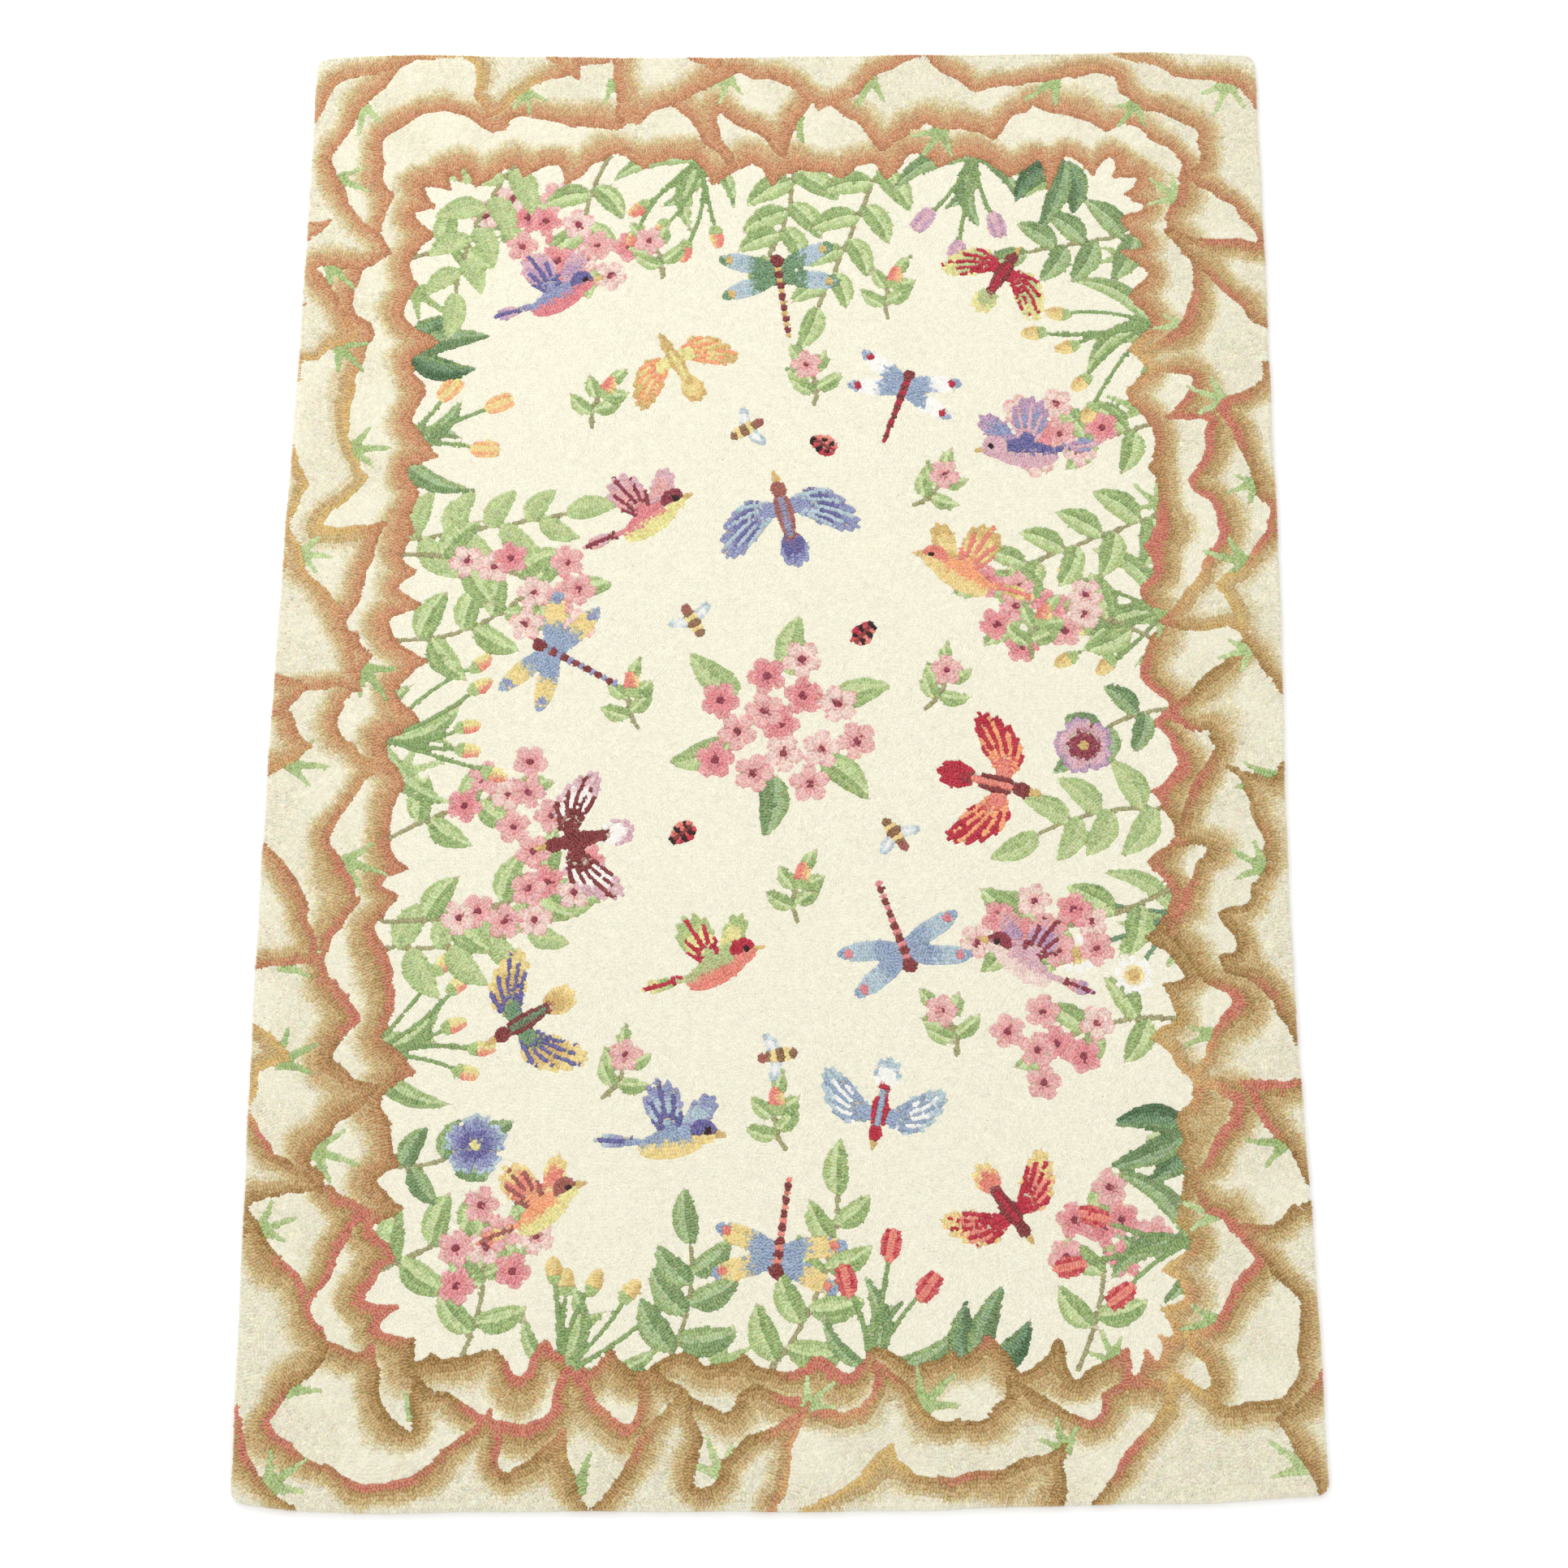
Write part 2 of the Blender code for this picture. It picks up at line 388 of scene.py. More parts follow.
    def tulip(self, place, turn, size, colours):
        here, u, v = self.local(place, turn, size, 1.1)
        half = 0.52 * np.sqrt(np.clip(1 - ((u - 0.1) / 0.95) ** 2, 0, 1))
        points = 0.62 + 0.33 * np.abs(np.cos(np.clip(v / 0.5, -1, 1) * np.pi * 1.5)) ** 0.7
        mask = (np.abs(v) < half) & (u < points) & (u > -0.8)
        t = np.abs(v) / 0.5 + 0.08 * self.dither[here]
        self.put(here, mask, ramp(t, (0.35, colours[0]), (0.45, colours[1]), (1, colours[0])))

    def blades(self, place, turn, size, tint):
        # four long narrow leaves, spread like a fan
        for k, long in enumerate((1, 0.75, 0.9, 0.7)):
            self.leaf(place, turn + (k - 1.5) * 34, size * long, 0.22, (-0.16, 0.16)[k % 2], tint)

    def grass(self, place, turn, size, pale):
        # a tuft of three narrow blades that bend outwards, paler towards their tips
        for lean, long in ((-36, 0.75), (-9, 1.0), (24, 0.8)):
            here, u, v = self.local(place, turn + lean, size * long, 1.15)
            along = np.clip(u, 0.001, 0.999)
            half = 0.11 * np.sqrt(1 - along) / long
            across = v - 0.008 * lean * along * along
            share = np.clip(pale + 0.6 * along + 0.15 * self.dither[here], 0, 1)
            green = mix(yarns["grass"], yarns["leafPale"], share)
            self.put(here, (u > 0) & (u < 1) & (np.abs(across) < half), green)

    def feather(self, here, u, v, root, axis, spread, length, teeth, colours, marks=True):
        # a wing or a tail as a fan about its root, with a toothed rim; colours of root, middle, rim and marks
        r, angle = np.hypot(u - root[0], v - root[1]), np.degrees(np.arctan2(v - root[1], u - root[0]))
        a = ((angle - axis + 180) % 360 - 180) / spread
        edge = length * np.clip(np.cos(np.clip(a, -1, 1) * np.pi / 2), 0, 1) ** 0.38
        edge *= 0.88 + 0.12 * np.abs(np.cos(teeth * a * np.pi / 2))
        mask = (np.abs(a) < 1) & (r < edge)
        t = r / np.maximum(edge, 1e-6) + 0.05 * self.dither[here]
        paint = ramp(t, (0.34, colours[0]), (0.48, colours[1]), (0.72, colours[1]), (0.86, colours[2]))
        if marks:
            rays = np.abs((a * teeth / 3 + 0.5) % 1 - 0.5) * spread * np.pi / 180 * r * 3 / teeth
            paint[(rays < 0.034) & (t > 0.40) & (t < 0.93)] = yarns[colours[3]]
        self.put(here, mask, paint)

    def swallow(self, place, turn, size, colours, body):
        # a bird from above, wings spread and swept back, head at +v
        here, u, v = self.local(place, turn, size, 1.25)
        side = np.abs(u)
        swept = v + 0.42 * side * side
        self.feather(here, u, v, (0, -0.20), -90, 36, 0.74, 5, (body,) + colours[1:], marks=False)
        self.feather(here, side, swept, (0.0, 0.10), 0, 38, 1.12, 9, colours)
        self.put(here, (u / 0.14) ** 2 + (v / 0.40) ** 2 < 1, ramp(side, (0.02, colours[0]), (0.08, body)))
        self.put(here, (side < 0.09 - 0.28 * (v - 0.46)) & (v > 0.42) & (v < 0.74), yarns["gold"])
        self.put(here, np.hypot(u / 0.9, v - 0.40) < 0.135, yarns[body])

    def songbird(self, place, turn, size, colours, breast):
        # a bird from the side, in flight, facing +u; a negative size faces the other way
        here, u, v = self.local(place, turn, abs(size), 1.25)
        u = u if size > 0 else -u
        root, middle, rim, mark = colours
        self.feather(here, u, v, (0.12, 0.08), 56, 24, 0.90, 5, (rim, middle, rim, mark), marks=False)
        self.feather(here, u, v, (-0.22, -0.02), 186, 13, 0.92, 3, (root, rim, middle, mark))
        tilt = v - 0.28 * (u - 0.05)
        paint = ramp(tilt + 0.03 * self.dither[here], (-0.02, breast), (0.05, root))
        self.put(here, ((u - 0.08) / 0.50) ** 2 + (tilt / 0.25) ** 2 < 1, paint)
        bill = (np.abs(v - 0.24) < 0.07 - 0.26 * (u - 0.68)) & (u > 0.62) & (u < 0.95)
        self.put(here, bill, yarns["gold"])
        head = np.hypot(u - 0.52, v - 0.24)
        self.put(here, head < 0.20, ramp(v - 0.2 * u, (0.08, breast), (0.14, mark)))
        self.put(here, np.hypot(u - 0.58, v - 0.27) < 0.05, yarns["ink"])
        self.feather(here, u, v, (0.08, 0.0), 112, 34, 1.02, 7, colours)

    def dragonfly(self, place, turn, size, colours):
        here, u, v = self.local(place, turn, size, 1.1)
        side = np.abs(u)
        for lift, root in ((-14, 0.16), (20, 0.28)):
            c, s = math.cos(math.radians(lift)), math.sin(math.radians(lift))
            a, b = side * c + (v - root) * s, (v - root) * c - side * s
            mask = ((a - 0.5) / 0.5) ** 2 + (b / 0.16) ** 2 < 1
            t = a + 0.05 * self.dither[here]
            paint = ramp(t, (0.4, colours[1]), (0.5, colours[0]), (0.8, colours[0]), (0.88, colours[1]))
            paint[np.hypot(a - 0.82, b) < 0.07] = yarns[colours[2]]
            self.put(here, mask, paint)
        rings = ramp(np.abs((v * 5) % 1 - 0.5) * 2, (0.2, colours[2]), (0.6, "burgundy"))
        self.put(here, (side < 0.060 + 0.02 * v) & (v > -0.95) & (v < 0.4), rings)
        self.put(here, np.hypot(u, v - 0.45) < 0.11, yarns["burgundy"])

    def ladybird(self, place, turn, size):
        here, u, v = self.local(place, turn, size, 1.2)
        self.put(here, np.hypot(u / 0.5, (v - 0.75) / 0.35) < 1, yarns["ink"])
        self.put(here, np.hypot(u / 0.75, v / 0.9) < 1, ramp(u, (-0.6, "red"), (0.5, "coral")))
        self.put(here, (np.abs(u) < 0.1) & (np.abs(v) < 0.8), yarns["burgundy"])
        self.put(here, np.hypot(np.abs(u) - 0.38, v - 0.25) < 0.2, yarns["ink"])
        self.put(here, np.hypot(np.abs(u) - 0.35, v + 0.35) < 0.18, yarns["ink"])

    def bee(self, place, turn, size):
        here, u, v = self.local(place, turn, size, 1.3)
        for way in (-1, 1):
            wing = ((u * way - 0.6) / 0.55) ** 2 + ((v - 0.25 - 0.3 * (u * way - 0.3)) / 0.3) ** 2
            self.put(here, wing < 1, ramp(wing, (0, "white"), (0.7, "sky")))
        stripes = ramp(np.abs((v * 1.6) % 1 - 0.5) * 2, (0.35, "butter"), (0.55, "bark"))
        self.put(here, (u / 0.34) ** 2 + (v / 0.85) ** 2 < 1, stripes)
        self.put(here, np.hypot(u, v - 0.85) < 0.24, yarns["brick"])


def fromTurn(turn):
    return np.array([math.cos(math.radians(turn)), math.sin(math.radians(turn))])


def turnAt(line, at):
    # the way that a stem's line runs where it comes to one of its points
    return math.degrees(math.atan2(*(line[at] - line[at - 1])[::-1]))


def leafSprig(pattern, place, turn, length, bend, pairs, leafLength, tint):
    ahead, aside = fromTurn(turn), fromTurn(turn + 90)
    place = np.array(place)
    elbow = place + length * (0.5 * ahead + bend * aside)
    line = pattern.stem((place, elbow, place + length * ahead), 0.0055, "stem")
    for k in range(pairs):
        at = int((k + 1) * 13 / (pairs + 0.6))
        way = turnAt(line, at)
        for side in (-1, 1):
            spot = line[max(at - (1 if side > 0 else 0), 0)]
            long = leafLength * (1 - 0.07 * k)
            pattern.leaf(spot, way + side * (56 - 6 * k), long, 0.48, 0.08 * side, tint)
    pattern.leaf(line[-1], turnAt(line, -1), leafLength * 0.95, 0.44, 0.06, tint)
    return line


goldenTurn = 137.5       # degrees from one blossom of a spiral to the next


def blossomHead(pattern, heart, count, seed, rng):
    # blossoms packed in a spiral
    size = 0.0215
    for k in range(count):
        spot = heart + size * math.sqrt(k) * 1.12 * fromTurn(goldenTurn * k + 57 * seed)
        pattern.blossom(spot, rng.uniform(0, 72), size, rng.choice([0.1, 0.5, 0.95]))


def blossomBranch(pattern, place, turn, length, bend, count, seed):
    heart = leafSprig(pattern, place, turn, length, bend, 2, 0.064, 0.0)[-1]
    blossomHead(pattern, heart, count, seed, np.random.default_rng(seed))


def longBranch(pattern, place, turn, length, bend, seed):
    # a branch that reaches far into the field, with leaves along it and blossoms at its end and half way
    rng = np.random.default_rng(seed)
    ahead, aside = fromTurn(turn), fromTurn(turn + 90)
    elbow = place + length * (0.55 * ahead + bend * aside)
    line = pattern.stem((place, elbow, place + length * ahead), 0.006, "stem")
    for at, side in ((3, 1), (5, -1), (9, 1), (11, -1), (13, 1), (13, -1)):
        way = turnAt(line, at)
        pattern.leaf(line[at], way + side * 50, 0.068, 0.48, 0.08 * side, 0.0)
    for heart, count in ((line[-1], 6), (line[7], 3)):
        blossomHead(pattern, heart, count, seed, rng)


def budSpray(pattern, place, turn, size, count, colours, seed):
    rng = np.random.default_rng(seed)
    pattern.blades(place, turn, size * 0.84, 0.1)
    for k in range(count):
        way = turn + (k - (count - 1) / 2) * 76 / count + rng.uniform(-5, 5)
        long = size * rng.uniform(0.7, 1.05)
        tip = place + long * fromTurn(way)
        middle = (place + tip) / 2 + rng.uniform(-0.18, 0.18) * long * fromTurn(way + 90)
        pattern.stem((place, middle, tip), 0.0052, "leafDark")
        pattern.bud(tip, way, 0.0165, colours)


def tulips(pattern, place, turn, size, colours):
    pattern.blades(place, turn, size * 0.86, 0.4)
    for k, lean in enumerate((-24, 2, 27)):
        long = size * (0.8, 1.0, 0.72)[k]
        tip = place + long * fromTurn(turn + lean)
        middle = (place + tip) / 2 + 0.1 * long * (1 - k) * fromTurn(turn + lean + 90)
        pattern.stem((place, middle, tip), 0.0056, "leafDark")
        pattern.tulip(tip, turn + lean, 0.023, colours)


def daisies(pattern, place, turn, size, colours, seed):
    pattern.blades(place, turn, size * 0.8, -0.4)
    for k, lean in enumerate((-30, 0, 32)):
        tip = place + size * (0.78, 1.0, 0.7)[k] * fromTurn(turn + lean)
        pattern.stem((place, (place + tip) / 2, tip), 0.0055, "teal")
        pattern.daisy(tip, seed * 7 + k * 11, 0.024, colours)


def bloomStalk(pattern, place, turn, size, colours, seed):
    # one large flower on a leafy stalk
    heart = leafSprig(pattern, place, turn, size, (0.2, -0.2)[seed % 2], 2, 0.056, (0.0, 0.5)[seed % 2])[-1]
    pattern.bloom(heart, 17 * seed, 0.038, colours)


def plant(pattern, place, turn, kind, seed):
    rng = np.random.default_rng(100 + seed)
    place = np.array(place)
    if kind == "leaf":
        leafSprig(pattern, place, turn, rng.uniform(0.140, 0.175), rng.uniform(-0.25, 0.25), 3, 0.072,
                  rng.choice([0, 0, -0.5, 0.3]))
    elif kind == "long":
        leafSprig(pattern, place, turn, rng.uniform(0.190, 0.225), rng.uniform(-0.25, 0.25), 4, 0.072,
                  rng.choice([0, -0.6]))
    elif kind == "blossom":
        blossomBranch(pattern, place, turn, rng.uniform(0.135, 0.165), rng.uniform(-0.2, 0.2), 7, seed)
    elif kind == "bud":
        colours = (("butter", "gold"), ("coral", "butter"), ("lemon", "coral"))[seed % 3]
        budSpray(pattern, place, turn, 0.145, 5, colours, seed)
    elif kind == "tulip":
        colours = (("coral", "red"), ("orchid", "lilac"), ("butter", "orange"))[seed % 3]
        tulips(pattern, place, turn, 0.14, colours)
    elif kind == "daisy":
        colours = (("butter", "white"), ("peri", "sky"), ("pink", "white"))[seed % 3]
        daisies(pattern, place, turn, 0.13, colours, seed)
    elif kind == "bloom":
        bloomStalk(pattern, place, turn, 0.125, blooms[seed % len(blooms)], seed)
    else:
        pattern.leaf(place, turn - 24, 0.092, 0.36, -0.14, 1)
        pattern.leaf(place, turn + 26, 0.082, 0.38, 0.14, 0.8)
        pattern.leaf(place, turn + 2, 0.108, 0.28, 0.06, 0.6)


# eye, heart, petal and rim
blooms = [
    ("gold", "burgundy", "red", "coral"), ("lemon", "violet", "peri", "sky"),
    ("magenta", "orange", "butter", "gold"), ("gold", "magenta", "orchid", "lilac"),
    ("burgundy", "butter", "orange", "coral"),
]

# birds: kind, place, turn and half span; colours of root, middle, rim and marks; body or breast
birds = [
    ("swallow", 0.005, 0.275, 14, 0.080, ("peri", "violet", "peri", "sky"), "brick"),
    ("songbird", 0.225, 0.190, -12, -0.078, ("orange", "butter", "gold", "coral"), "butter"),
    ("swallow", 0.258, -0.075, -104, 0.078, ("coral", "red", "red", "orange"), "burgundy"),
    ("songbird", -0.080, -0.305, 10, 0.076, ("mint", "lemon", "leaf", "red"), "coral"),
    ("swallow", -0.240, -0.145, 102, 0.074, ("burgundy", "white", "orchid", "burgundy"), "burgundy"),
    ("songbird", -0.165, 0.262, 18, 0.076, ("hotPink", "pink", "orchid", "magenta"), "lemon"),
    ("songbird", 0.310, 0.355, 14, -0.078, ("violet", "peri", "lilac", "orchid"), "orchid"),
    ("swallow", -0.130, 0.478, 30, 0.066, ("lemon", "butter", "gold", "orange"), "gold"),
    ("swallow", -0.298, -0.365, 122, 0.074, ("teal", "gold", "butter", "violet"), "burgundy"),
    ("songbird", 0.290, -0.300, -16, -0.074, ("orchid", "lilac", "pink", "magenta"), "blush"),
    ("swallow", 0.115, -0.470, 168, 0.068, ("slate", "white", "sky", "slate"), "red"),
    ("songbird", -0.130, -0.508, -8, 0.076, ("slate", "sky", "peri", "violet"), "butter"),
    ("swallow", 0.280, 0.600, -32, 0.066, ("red", "mint", "lemon", "red"), "burgundy"),
    ("songbird", -0.285, 0.565, 12, 0.074, ("peri", "lilac", "orchid", "violet"), "hotPink"),
    ("songbird", -0.275, -0.590, 20, 0.070, ("orange", "coral", "butter", "brick"), "lemon"),
    ("swallow", 0.262, -0.585, 215, 0.068, ("red", "coral", "butter", "red"), "burgundy"),
]

# place, turn and half span; colours of wing, wing root and spots
dragonflies = [
    (0.140, -0.265, 200, 0.078, ("sky", "slate", "hotPink")),
    (-0.262, 0.085, 62, 0.078, ("butter", "slate", "peri")),
    (0.150, 0.430, -20, 0.070, ("white", "slate", "red")),
    (0.000, 0.585, 8, 0.078, ("sky", "teal", "gold")),
    (0.000, -0.620, 172, 0.078, ("butter", "slate", "coral")),
]

# small sprigs between them: place and turn
sprigs = [
    (-0.235, 0.390, 70), (0.042, 0.420, 100), (-0.172, -0.005, 98), (0.175, 0.020, 62),
    (0.020, -0.245, 84), (-0.205, -0.455, 64), (0.006, -0.515, 100), (0.205, -0.405, 108),
    (0.135, 0.540, 80), (-0.150, 0.595, 108), (0.305, 0.085, 74), (0.165, 0.285, 48),
]


def paintField(pattern):
    pattern.below = 0
    kinds = ["leaf", "bud", "blossom", "long", "tulip", "bloom",
             "leaf", "daisy", "blossom", "dark", "bud", "long"]
    k = 0
    for side in (-1, 1):
        for j, y in enumerate(np.linspace(-0.64, 0.64, 11)):
            turn = (0 if side < 0 else 180) + (22, -26, 10, -14)[(j + k) % 4]
            kind = kinds[(j * 5 + (4 if side > 0 else 0)) % 12]
            plant(pattern, (side * (0.468 + 0.006 * (j % 3)), y + 0.02 * side), turn, kind, k)
            k += 1
        for j, x in enumerate(np.linspace(-0.35, 0.35, 7)):
            turn = (90 if side < 0 else -90) + (16, -22, 8, -12)[(j + k) % 4]
            kind = kinds[(j * 5 + (3 if side > 0 else 8)) % 12]
            plant(pattern, (x + 0.015 * side, side * (0.764 + 0.005 * (j % 2))), turn, kind, k)
            k += 1
    for x, y, turn, length, bend in ((-0.47, 0.22, -16, 0.21, 0.16), (0.47, 0.10, 164, 0.19, -0.15),
                                     (0.47, -0.20, 196, 0.20, 0.14), (-0.47, -0.245, 14, 0.20, -0.15)):
        longBranch(pattern, np.array((x, y)), turn, length, bend, k)
        k += 1
    for turn in (20, 80, 140, 200, 262, 318):
        pattern.leaf(0.064 * fromTurn(turn), turn, 0.080, 0.46, 0.08, (0, 0.4, -0.3)[turn % 3])
    for j in range(14):
        spot = 0.0262 * math.sqrt(j) * fromTurn(goldenTurn * j)
        pattern.blossom(spot, j * 31, 0.0245, (0.1, 0.6, 0.95)[j % 3])
    for k, (x, y, turn) in enumerate(sprigs):
        tip = leafSprig(pattern, (x, y), turn, 0.056, (0.24, -0.24)[k % 2], 2, 0.042, 0.0)[-1]
        if k % 2:
            pattern.blossom(tip, 31 * k, 0.0195, 0.6)
        else:
            pattern.bud(tip, turn, 0.0165, ("coral", "butter"))
    for kind, x, y, turn, size, colours, body in birds:
        draw = pattern.swallow if kind == "swallow" else pattern.songbird
        draw((x, y), turn, size, colours, body)
    for x, y, turn, size, colours in dragonflies:
        pattern.dragonfly((x, y), turn, size, colours)
    for x, y, turn in ((0.10, 0.115, -40), (-0.115, -0.135, 130), (0.055, 0.365, 60)):
        pattern.ladybird((x, y), turn, 0.018)
    for x, y, turn in ((-0.105, 0.130, 30), (0.135, -0.135, 215), (-0.045, 0.385, -60), (0.0, -0.405, 100)):
        pattern.bee((x, y), turn, 0.025)


tufts = {
    "tries": 5000,
    "apart": 0.106,
    "reach": 4,              # how far behind a ridge they may stand, in mm
    "within": (0.595, 0.90),         # none grows nearer the rug's edge
    "sizes": (0.044, 0.062),
    "sunk": 0.004,           # how far a tuft's foot lies behind its spot
}


def tuftSpots(away, layer):
    # where grass grows: at the ridges of the border, towards the field; (place, turn, layer of the ridge)
    rng = np.random.default_rng(21)
    x, y = coarse.points()
    within = (np.abs(x) < tufts["within"][0]) & (np.abs(y) < tufts["within"][1])
    free = np.flatnonzero((away < tufts["reach"]) & (layer >= 0) & within)
    spots = []
    for pick in rng.integers(free.size, size=tufts["tries"]):
        spot = np.array([x[free[pick]], y[free[pick]]])
        if all(np.hypot(*(spot - other[0])) > tufts["apart"] for other in spots):
            qx, qy = (math.copysign(max(abs(spot[k]) - border["fieldHalf"][k], 0), spot[k]) for k in (0, 1))
            way = math.degrees(math.atan2(-qy, -qx))
            spots.append((spot, way + rng.uniform(-40, 40), int(layer[free[pick]])))
    return spots


def paintTufts(pattern, spots):
    rng = np.random.default_rng(22)
    for k, (spot, turn, layer) in enumerate(spots):
        pattern.below = layer
        size, pale = rng.uniform(*tufts["sizes"]), rng.choice([-0.3, 0.0, 0.0, 0.35])
        if layer > 0 or k % 3 == 0:
            pattern.grass(spot - tufts["sunk"] * fromTurn(turn), turn, size, pale)


layers = borderLayers()
banks = Pattern(*coarse.points(), ragged=0)
spots = tuftSpots(banks.border(layers), banks.layer)


def paintAll(pattern):
    pattern.border(layers)
    paintTufts(pattern, spots)
    paintField(pattern)


drawing = Pattern(*fine.points(), ragged=0)
paintAll(drawing)
picture = drawing.rgb.reshape(*fine.shape, 3)
print(round(time.time() - began, 1), "s:", "pattern drawn,", len(layers), "layers,", len(spots), "tufts")

# the pile: loops of wool in rows that follow the edges of the pattern

pile = {
    "across": 0.00338,       # loop pitch along a row
    "along": 0.00468,        # row pitch, the long way of a loop
    "footLong": 0.66,        # half a loop's foot, as a share of the row pitch
    "footWide": 0.80,        # half its width at the side of the rug, as a share of the loop pitch
    "footDraw": 0.10,        # and how much less that is on top
    "crest": 0.25,           # half its ridge, as a share of the row pitch
    "ragged": 0.07,          # spread of its corners
    "sway": 0.06,            # spread of its ridge's ends sideways, in loop pitches
    "tip": 0.00022,          # spread of how far its ridge's ends tip up and down
    "top": 0.0097,           # height of the ridges
    "swell": 0.0003,         # slow rise and fall of the top
    "uneven": 0.00040,       # spread of the loops' heights
    "twist": 0.32,           # spread of their turns, as a tangent
    "astray": 0.00035,       # spread of their places
    "calm": 0.5,             # how much more evenly the plain ground is hooked
    "depth": 0.0026,         # how deep a loop's sides go
    "edgeRound": 0.005,      # the pile rolls over at the edge with this radius
    "rimHeight": 0.005,      # the rug is widest here
    "lastRow": 0.0073,       # how far inside the outline the last of the edge's rows stands
    "lowest": 0.0003,        # the loops of the side end this far above the floor
    "rounds": 30,            # steps in which the loops find their places
    "reach": 1.15,           # how far neighbours feel each other, in pitches
    "crowd": 0.957,          # starting pitch as a share of the final one
    "start": 0.0007,         # spread of their first places about a regular set
    "give": 0.25,            # how much of each push they follow
    "pull": 2,               # how strongly an edge of the pattern draws the rows beside it
    "edgeStep": 0.14,        # a change of colour within a millimetre that counts as an edge
    "seed": 12,
}


def rimLine():
    # the outline of the CAD node at its widest, resampled at the loops' pitch, counter-clockwise
    count = len(rugNode.data.vertices)
    points = np.empty(count * 3)
    rugNode.data.vertices.foreach_get("co", points)
    points = points.reshape(-1, 3)
    level = np.abs(points[:, 2] - pile["rimHeight"]) < 0.0002
    ring = np.unique(np.round(points[level, :2], 6), axis=0)
    ring = ring[np.argsort(np.arctan2(ring[:, 1], ring[:, 0]))]
    ring = np.vstack([ring, ring[:1]])
    run = np.concatenate([[0], np.cumsum(np.hypot(*np.diff(ring, axis=0).T))])
    number = int(run[-1] / pile["across"])
    places = np.arange(number) * run[-1] / number
    line = np.stack([np.interp(places, run, ring[:, k]) for k in (0, 1)], -1)
    ahead = np.roll(line, -2, 0) - np.roll(line, 2, 0)
    ahead /= np.hypot(*ahead.T)[:, None]
    return line, np.stack([ahead[:, 1], -ahead[:, 0]], -1)


rim, rimOut = rimLine()


def sideTable(axis, sign):
    # one side of the outline as a table of (place along the side, how far out it lies)
    other = 1 - axis
    part = rim[(rim[:, axis] * sign > 0) & (np.abs(rimOut[:, axis]) > 0.97)]
    part = part[np.argsort(part[:, other])]
    return part[:, other], part[:, axis]


sides = {(axis, sign): sideTable(axis, sign) for axis in (0, 1) for sign in (-1, 1)}


def sideLimits(axis, places):
    return [np.interp(places[:, 1 - axis], *sides[axis, sign]) for sign in (-1, 1)]


def keepInside(points, margin):
    for axis in (0, 1):
        low, high = sideLimits(axis, points)
        points[:, axis] = np.clip(points[:, axis], low + margin, high - margin)
    return points


def blur(field, times):
    for _ in range(times):
        field[1:-1] = (field[:-2] + 2 * field[1:-1] + field[2:]) / 4
        field[:, 1:-1] = (field[:, :-2] + 2 * field[:, 1:-1] + field[:, 2:]) / 4
    return field


rowing = {
    "close": 6,              # rounds of blurring that carry the edges' ways to their neighbourhood
    "wide": 50, "wideShare": 0.7,        # and farther out, where it counts for less
    "wander": 0.4, "wanderScale": 0.075,     # a slow wandering over plain ground
    "side": 3, "sideReach": 0.012,       # how strongly and how far in the rug's own sides count
}


def rowField():
    # twice the angle of the loops' long way, as a vector over the coarse grid: across every edge of the
    # pattern, and wandering where it is plain
    gy, gx = np.gradient(picture[::2, ::2], axis=(0, 1))
    parts = [(gx ** 2 - gy ** 2).sum(-1), (2 * gx * gy).sum(-1)]
    close = np.stack([blur(p.copy(), rowing["close"]) for p in parts], -1)
    wide = np.stack([blur(p.copy(), rowing["wide"]) for p in parts], -1)
    x, y = coarse.points()
    wander = np.stack([noise(x, y, rowing["wanderScale"], seed) for seed in (31, 32)], -1)
    wander = wander.reshape(*coarse.shape, 2)
    wander /= np.hypot(wander[..., 0], wander[..., 1])[..., None] + 0.1

    def size(v):
        return np.hypot(v[..., 0], v[..., 1])[..., None]

    field = close / (size(close) + 0.002) + rowing["wideShare"] * wide / (size(wide) + 0.0006)
    field = field + rowing["wander"] * wander
    points = np.stack([x, y], -1)
    for axis, way in ((0, 1), (1, -1)):
        low, high = sideLimits(axis, points)
        inset = np.clip(np.minimum(high - points[:, axis], points[:, axis] - low), 0, None)
        near = np.exp(-(inset / rowing["sideReach"]) ** 2).reshape(coarse.shape)
        field[..., 0] += way * rowing["side"] * near
    return field


def edgeField():
    # how far to move from the nearest sharp edge of the pattern, so that a row stands along each side of it
    edge = np.zeros(fine.shape, bool)
    for axis in (0, 1):
        step = np.abs(np.diff(picture, axis=axis)).sum(-1) > pile["edgeStep"]
        if axis:
            edge[:, :-1] |= step
            edge[:, 1:] |= step
        else:
            edge[:-1] |= step
            edge[1:] |= step
    away = blur(fine.away(edge, 5), 1)
    gy, gx = np.gradient(away)
    size = np.hypot(gx, gy) + 1e-6
    push = np.clip(pile["along"] / 2 - 0.0005 - away, 0, None) / size
    return np.stack([gx * push, gy * push], -1)


rows = rowField()
edges = edgeField()


def longWay(points):
    vector = coarse.nearest(rows, points)
    angle = np.arctan2(vector[:, 1], vector[:, 0]) / 2
    return np.cos(angle), np.sin(angle)


